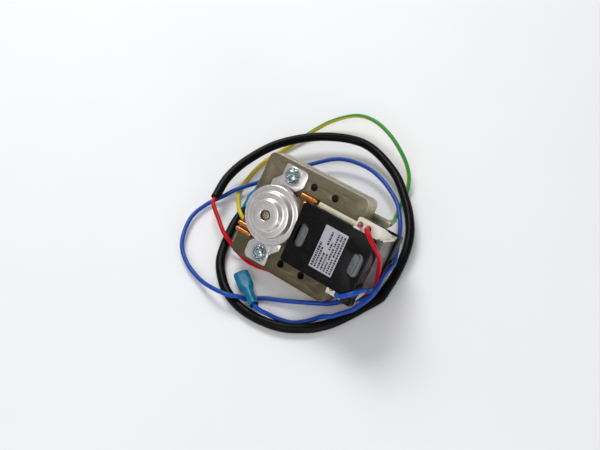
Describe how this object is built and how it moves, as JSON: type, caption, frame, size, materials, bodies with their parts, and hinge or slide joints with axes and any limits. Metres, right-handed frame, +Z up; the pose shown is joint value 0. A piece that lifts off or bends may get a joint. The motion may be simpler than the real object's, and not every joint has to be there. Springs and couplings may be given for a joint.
{
  "type": "shaded-pole fan motor",
  "caption": "Open-frame shaded-pole fan motor with laminated stack, side coil, bearing brackets, loose leads, push-on terminals and an earth wire.",
  "frame": {"origin": "centre of the bottom of the motor's box, without the leads, on the table it lies on", "axes": "+X runs from the shaft's side towards the coil, +Z is up; the shaft leans 43.5 degrees from +Z towards -Y"},
  "size_m": [0.1259, 0.1531, 0.0565],
  "materials": {
    "varnished_steel": "varnished laminations, olive brown",
    "copper": null,
    "cream_nylon": "cream moulded nylon",
    "enamelled_wire": "enamelled copper wire, wound solid",
    "grey_tape": "grey coil tape",
    "black_plastic": "black coil cover",
    "grey_clip": "light grey clip",
    "label": "silver rating label, plain bars only",
    "satin_aluminium": "pressed bearing bracket, satin",
    "sintered_bronze": "oil-soaked bronze",
    "spring_steel": "pressed spring steel",
    "oil_felt": "felt",
    "rotor_steel": "turned laminations",
    "cast_aluminium": "cast rotor cage",
    "shaft_steel": "ground steel",
    "natural_nylon": "natural nylon washer",
    "bright_zinc": "bright zinc plating",
    "tinned_brass": "tinned",
    "cyan_vinyl": "cyan vinyl insulator, slightly see-through",
    "brass": "brass contact",
    "red_pvc": "red PVC wire",
    "blue_pvc": "blue PVC wire",
    "green_yellow_pvc": "green and yellow PVC wire",
    "black_sleeving": "black PVC sleeving",
    "pink_sleeving": "pink sleeving on the coil's end"
  },
  "bodies": {
    "stator": {"stator_stack": "varnished_steel", "coil_core_bar": "varnished_steel", "shading_ring_upper_large": "copper", "shading_ring_upper_small": "copper", "shading_ring_lower_large": "copper", "shading_ring_lower_small": "copper", "bobbin": "cream_nylon", "winding": "enamelled_wire", "winding_tape": "grey_tape", "coil_cover_front": "black_plastic", "cover_clip_left": "grey_clip", "cover_clip_right": "grey_clip", "coil_cover_rear": "black_plastic", "rating_label": "label", "front_bracket": "satin_aluminium", "rear_bracket": "satin_aluminium", "front_bearing": "sintered_bronze", "rear_bearing": "sintered_bronze", "front_bearing_retainer": "spring_steel", "rear_bearing_retainer": "spring_steel", "front_oil_felt": "oil_felt", "rear_oil_felt": "oil_felt", "screw_upper": "bright_zinc", "screw_lower": "bright_zinc", "star_washer_upper": "bright_zinc", "star_washer_lower": "bright_zinc", "nut_upper": "bright_zinc", "nut_lower": "bright_zinc", "earth_tag": "tinned_brass", "earth_rivet": "tinned_brass", "receptacle_insulator_1": "cyan_vinyl", "receptacle_insulator_2": "cyan_vinyl", "receptacle_contact_1": "brass", "receptacle_contact_2": "brass", "earth_ring_terminal": "tinned_brass", "red_lead": "red_pvc", "black_sleeve": "black_sleeving", "red_tail": "red_pvc", "blue_lead": "blue_pvc", "earth_wire": "green_yellow_pvc", "coil_lead_stub": "pink_sleeving"},
    "rotor": {"rotor_core": "rotor_steel", "rotor_cage": "cast_aluminium", "shaft": "shaft_steel", "front_thrust_washer": "natural_nylon", "rear_thrust_washer": "natural_nylon"}
  },
  "joints": [
    {"name": "rotor_spin", "type": "hinge", "parent": "stator", "child": "rotor", "pos_m": [-0.02165, -0.00482, 0.03115], "axis": [0, -0.6884, 0.7254], "continuous": true}
  ]
}
